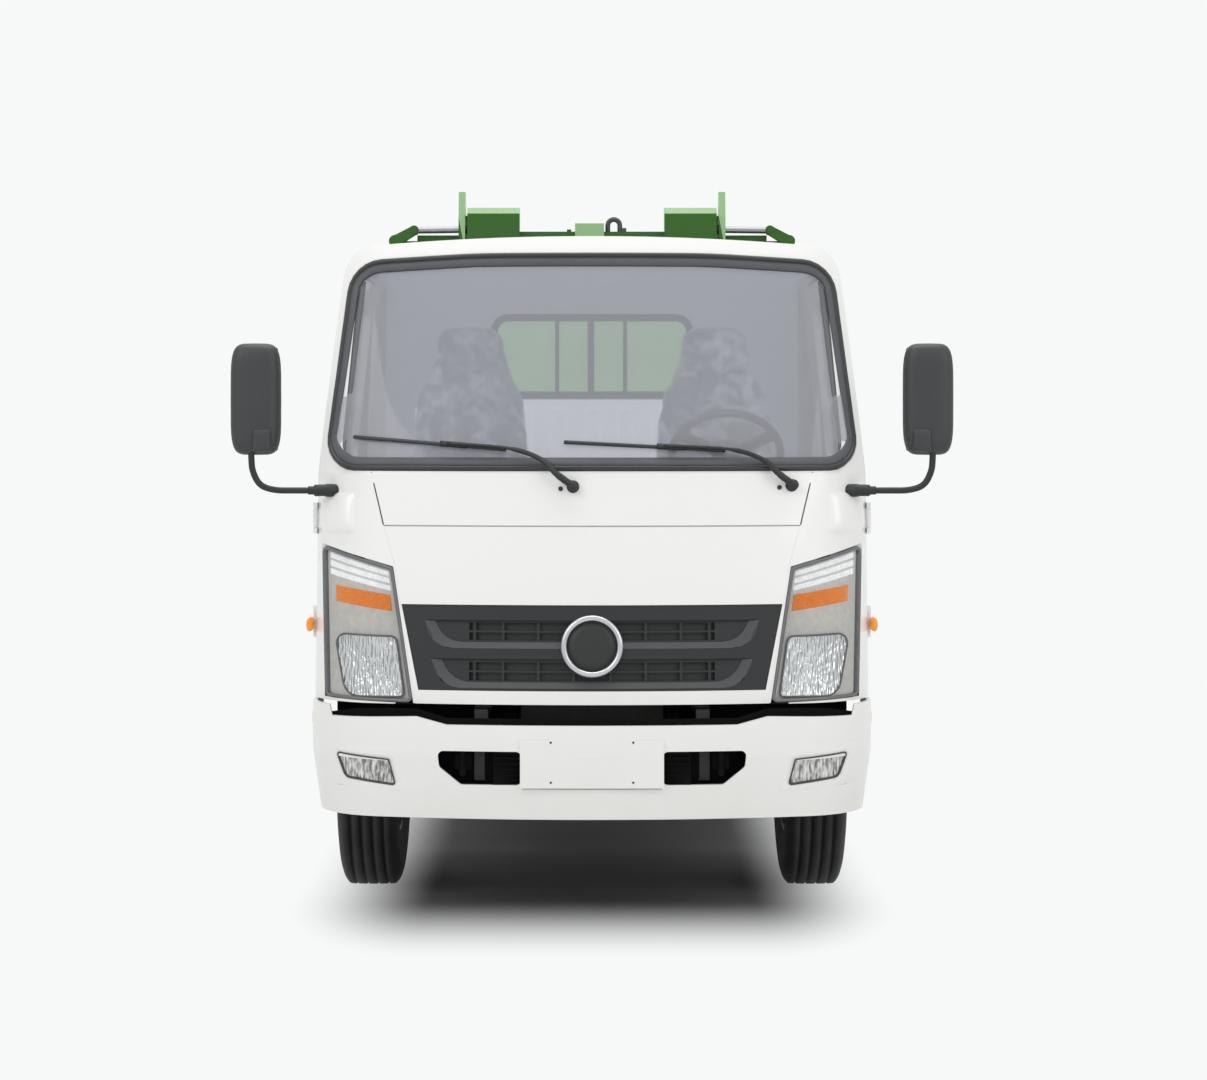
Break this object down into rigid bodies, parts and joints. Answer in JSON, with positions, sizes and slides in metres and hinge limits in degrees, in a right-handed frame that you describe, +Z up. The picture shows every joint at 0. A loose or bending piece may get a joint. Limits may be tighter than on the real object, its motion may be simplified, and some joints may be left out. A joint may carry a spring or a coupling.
{
  "type": "refuse collection truck",
  "caption": "Small tilt-cab truck with a tipping refuse body, hydraulic roof lids, a top-hung tailgate and a rear bin-lifting arm.",
  "frame": {"origin": "on the ground, under the middle of the truck's length and width", "axes": "+Z up, the truck faces -Y, +X is the truck's left side"},
  "size_m": [2.2, 5.2, 2.385],
  "materials": {
    "white_paint": "gloss",
    "green_paint": "satin",
    "black_paint": "satin",
    "grey_paint": "satin",
    "charcoal_plastic": "matte",
    "black_plastic": "matte",
    "interior_plastic": "matte",
    "clear_lens": "gloss",
    "window_glass": "gloss",
    "tyre_rubber": "matte",
    "rim_paint": "satin",
    "cast_steel": "rough",
    "chrome_rod": "polished",
    "seat_cloth": "matte",
    "bare_steel": "brushed"
  },
  "bodies": {
    "chassis_body": {"chassis": "black_paint", "subframe": "black_paint", "tail_bar": "black_paint", "driveline": "cast_steel", "fuel_tank": "grey_paint", "battery_box": "black_plastic", "exhaust": "bare_steel", "side_guards": "grey_paint", "front_axle": "cast_steel", "rear_axle": "cast_steel", "leaf_springs": "cast_steel", "rear_mudguards": "black_plastic", "bumper": "white_paint", "fog_lamps": "clear_lens"},
    "cab": {"cab_shell": "white_paint", "windscreen": "window_glass", "rear_window": "window_glass", "front_panel": "white_paint", "grille": "charcoal_plastic", "headlamps": "clear_lens", "seats": "seat_cloth", "dashboard": "interior_plastic", "steering_wheel": "black_plastic", "mirrors": "black_plastic", "wipers": "black_plastic"},
    "left_door": {"door_left": "white_paint", "door_glass_left": "window_glass"},
    "right_door": {"door_right": "white_paint", "door_glass_right": "window_glass"},
    "left_knuckle": {"knuckle_left": "cast_steel"},
    "right_knuckle": {"knuckle_right": "cast_steel"},
    "front_left_wheel": {"tyre_front_left": "tyre_rubber", "rim_front_left": "rim_paint"},
    "front_right_wheel": {"tyre_front_right": "tyre_rubber", "rim_front_right": "rim_paint"},
    "rear_left_wheels": {"tyres_rear_left": "tyre_rubber", "rims_rear_left": "rim_paint"},
    "rear_right_wheels": {"tyres_rear_right": "tyre_rubber", "rims_rear_right": "rim_paint"},
    "body": {"refuse_body": "green_paint", "roof_gear": "green_paint"},
    "left_lid": {"lid_left": "green_paint"},
    "right_lid": {"lid_right": "green_paint"},
    "left_lid_barrel": {"lid_barrel_left": "black_paint"},
    "right_lid_barrel": {"lid_barrel_right": "black_paint"},
    "left_lid_rod": {"lid_rod_left": "chrome_rod"},
    "right_lid_rod": {"lid_rod_right": "chrome_rod"},
    "gate": {"tailgate": "green_paint"},
    "gate_ram_barrels": {"gate_barrels": "black_paint"},
    "gate_ram_rods": {"gate_rods": "chrome_rod"},
    "bin_arm": {"lift_arm": "green_paint"},
    "tip_barrel": {"hoist_barrel": "black_paint"},
    "tip_stage": {"hoist_stage": "bare_steel"},
    "tip_rod": {"hoist_rod": "chrome_rod"}
  },
  "joints": [
    {"name": "cab_tilt", "type": "hinge", "parent": "chassis_body", "child": "cab", "pos_m": [0, -2.49, 0.5], "axis": [1, 0, 0], "range_deg": [0, 45]},
    {"name": "left_door_hinge", "type": "hinge", "parent": "cab", "child": "left_door", "pos_m": [0.856, -2.198, 1.08], "axis": [0, 0, -1], "range_deg": [0, 65]},
    {"name": "right_door_hinge", "type": "hinge", "parent": "cab", "child": "right_door", "pos_m": [-0.856, -2.198, 1.08], "axis": [0, 0, 1], "range_deg": [0, 65]},
    {"name": "left_steer", "type": "hinge", "parent": "chassis_body", "child": "left_knuckle", "pos_m": [0.6, -1.57, 0.385], "axis": [0, 0, 1], "range_deg": [-35, 35]},
    {"name": "right_steer", "type": "hinge", "parent": "chassis_body", "child": "right_knuckle", "pos_m": [-0.6, -1.57, 0.385], "axis": [0, 0, 1], "range_deg": [-35, 35]},
    {"name": "front_left_spin", "type": "hinge", "parent": "left_knuckle", "child": "front_left_wheel", "pos_m": [0.725, -1.57, 0.385], "axis": [1, 0, 0], "continuous": true},
    {"name": "front_right_spin", "type": "hinge", "parent": "right_knuckle", "child": "front_right_wheel", "pos_m": [-0.725, -1.57, 0.385], "axis": [1, 0, 0], "continuous": true},
    {"name": "rear_left_spin", "type": "hinge", "parent": "chassis_body", "child": "rear_left_wheels", "pos_m": [0.71, 1.23, 0.385], "axis": [1, 0, 0], "continuous": true},
    {"name": "rear_right_spin", "type": "hinge", "parent": "chassis_body", "child": "rear_right_wheels", "pos_m": [-0.71, 1.23, 0.385], "axis": [1, 0, 0], "continuous": true},
    {"name": "body_tip", "type": "hinge", "parent": "chassis_body", "child": "body", "pos_m": [0, 1.96, 0.8], "axis": [-1, 0, 0], "range_deg": [0, 45]},
    {"name": "tip_ram_swing", "type": "hinge", "parent": "chassis_body", "child": "tip_barrel", "pos_m": [0, 0.75, 0.64], "axis": [-1, 0, 0], "range_deg": [0, 69.2]},
    {"name": "tip_stage_slide", "type": "slide", "parent": "tip_barrel", "child": "tip_stage", "axis": [0, -0.9734, 0.229], "range_m": [0, 0.39308]},
    {"name": "tip_rod_slide", "type": "slide", "parent": "tip_stage", "child": "tip_rod", "axis": [0, -0.9734, 0.229], "range_m": [0, 0.39308]},
    {"name": "left_lid_hinge", "type": "hinge", "parent": "body", "child": "left_lid", "pos_m": [0.72, 0.2, 2.205], "axis": [0, 1, 0], "range_deg": [0, 95]},
    {"name": "right_lid_hinge", "type": "hinge", "parent": "body", "child": "right_lid", "pos_m": [-0.72, 0.2, 2.205], "axis": [0, -1, 0], "range_deg": [0, 95]},
    {"name": "left_lid_ram_swing", "type": "hinge", "parent": "body", "child": "left_lid_barrel", "pos_m": [0.3, -0.775, 2.25], "axis": [0, -1, 0], "range_deg": [0, 3.43]},
    {"name": "left_lid_ram_slide", "type": "slide", "parent": "left_lid_barrel", "child": "left_lid_rod", "axis": [0.9999, 0, -0.0143], "range_m": [0, 0.1164]},
    {"name": "right_lid_ram_swing", "type": "hinge", "parent": "body", "child": "right_lid_barrel", "pos_m": [-0.3, -0.775, 2.25], "axis": [0, 1, 0], "range_deg": [0, 3.43]},
    {"name": "right_lid_ram_slide", "type": "slide", "parent": "right_lid_barrel", "child": "right_lid_rod", "axis": [-0.9999, 0, -0.0143], "range_m": [0, 0.1164]},
    {"name": "gate_hinge", "type": "hinge", "parent": "body", "child": "gate", "pos_m": [0, 2.225, 2.14], "axis": [1, 0, 0], "range_deg": [0, 80]},
    {"name": "gate_ram_swing", "type": "hinge", "parent": "body", "child": "gate_ram_barrels", "pos_m": [0, 1.55, 1.9], "axis": [1, 0, 0], "range_deg": [0, 22.59]},
    {"name": "gate_ram_slide", "type": "slide", "parent": "gate_ram_barrels", "child": "gate_ram_rods", "axis": [0, 0.9778, -0.2095], "range_m": [0, 0.36561]},
    {"name": "bin_arm_hinge", "type": "hinge", "parent": "gate", "child": "bin_arm", "pos_m": [0, 2.35, 1.85], "axis": [1, 0, 0], "range_deg": [0, 150]}
  ],
  "couplings": [
    {"joint": "right_steer", "follows": "left_steer", "ratio": 1},
    {"joint": "tip_ram_swing", "follows": "body_tip", "ratio": 1.5377},
    {"joint": "tip_stage_slide", "follows": "body_tip", "m_per_rad": 0.50047},
    {"joint": "tip_rod_slide", "follows": "body_tip", "m_per_rad": 0.50047},
    {"joint": "left_lid_ram_swing", "follows": "left_lid_hinge", "ratio": 0.036098},
    {"joint": "left_lid_ram_slide", "follows": "left_lid_hinge", "m_per_rad": 0.0702},
    {"joint": "right_lid_ram_swing", "follows": "right_lid_hinge", "ratio": 0.036098},
    {"joint": "right_lid_ram_slide", "follows": "right_lid_hinge", "m_per_rad": 0.0702},
    {"joint": "gate_ram_swing", "follows": "gate_hinge", "ratio": 0.28231},
    {"joint": "gate_ram_slide", "follows": "gate_hinge", "m_per_rad": 0.26184}
  ]
}
